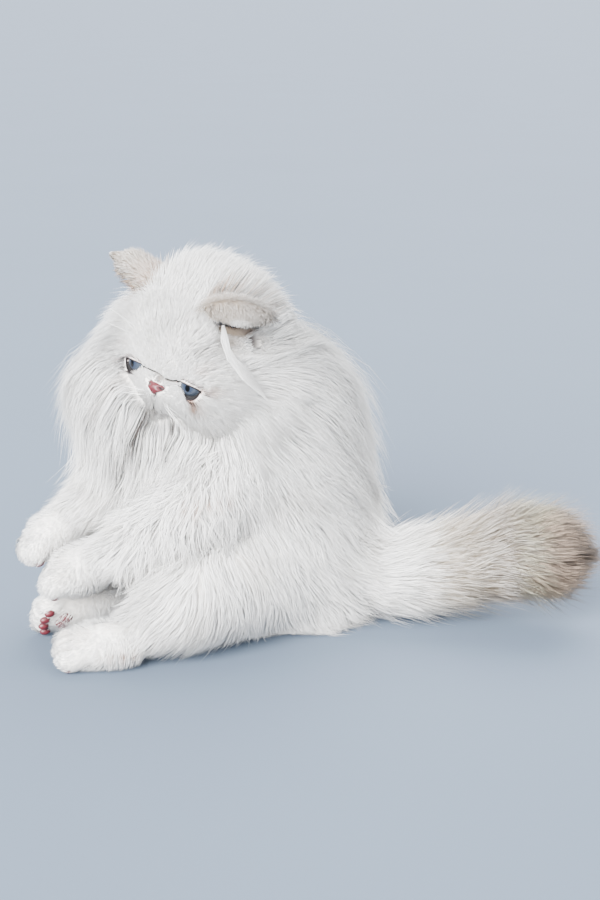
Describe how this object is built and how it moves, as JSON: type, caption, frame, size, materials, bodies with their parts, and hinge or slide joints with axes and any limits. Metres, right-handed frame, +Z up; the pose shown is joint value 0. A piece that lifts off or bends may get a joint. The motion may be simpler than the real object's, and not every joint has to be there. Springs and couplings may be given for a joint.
{
  "type": "persian cat",
  "caption": "Life-size still model of a longhaired persian kitten, sitting back on its rump with the hind legs stretched out and the forepaws raised.",
  "frame": {"origin": "on the floor, in the middle of the flat under the rump", "axes": "+X from the paws to the tail, +Z up, -Y the side that the cat shows, which is its own left"},
  "size_m": [0.3617, 0.1952, 0.2378],
  "materials": {
    "coat_white": "long soft white coat with a warm tint",
    "ear_coat": "short beige coat on the backs of the ears",
    "tail_coat": "long cream coat of the tail",
    "tail_tip_coat": "long tan coat of the tail's end",
    "eye": "wet grey-blue eye",
    "nose_leather": "bare pink-red nose leather"
  },
  "bodies": {
    "root": {"eye_left": "eye", "eye_right": "eye", "head": "coat_white", "nose": "nose_leather", "ear_left": "ear_coat", "ear_right": "ear_coat", "forepaw_left": "coat_white", "forepaw_right": "coat_white", "hindpaw_left": "coat_white", "hindpaw_right": "coat_white", "foreleg_left": "coat_white", "foreleg_right": "coat_white", "hindleg_left": "coat_white", "hindleg_right": "coat_white", "neck": "coat_white", "tail_tip": "tail_tip_coat", "tail_middle": "tail_coat", "tail_root": "coat_white", "torso": "coat_white"}
  },
  "joints": []
}
